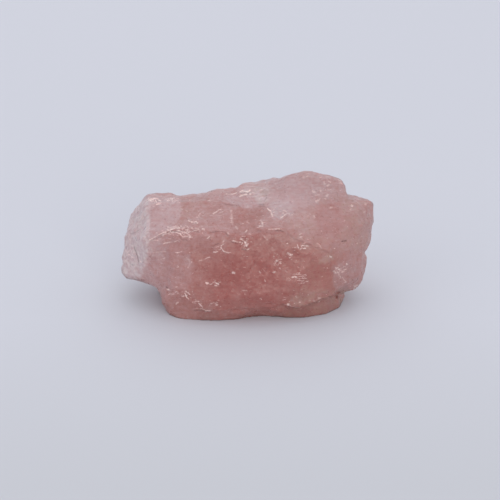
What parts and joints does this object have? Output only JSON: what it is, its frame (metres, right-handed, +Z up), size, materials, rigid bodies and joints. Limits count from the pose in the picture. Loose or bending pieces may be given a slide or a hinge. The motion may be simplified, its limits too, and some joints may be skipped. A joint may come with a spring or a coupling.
{
  "type": "rose quartz chunk",
  "caption": "Rough, broken lump of translucent rose quartz that lies on its flattest side, with a stepped top, an overhanging lip and undercut ends.",
  "frame": {"origin": "middle of the bounding box, on the plane the stone rests on", "axes": "+X along the stone's length, towards its higher, blockier end; +Z up from the resting face; the front with the overhanging lip faces -Y"},
  "size_m": [0.0704, 0.0358, 0.0347],
  "materials": {
    "rose_quartz": "translucent, rough-broken, vitreous"
  },
  "bodies": {
    "root": {"rose_quartz_chunk": "rose_quartz"}
  },
  "joints": []
}
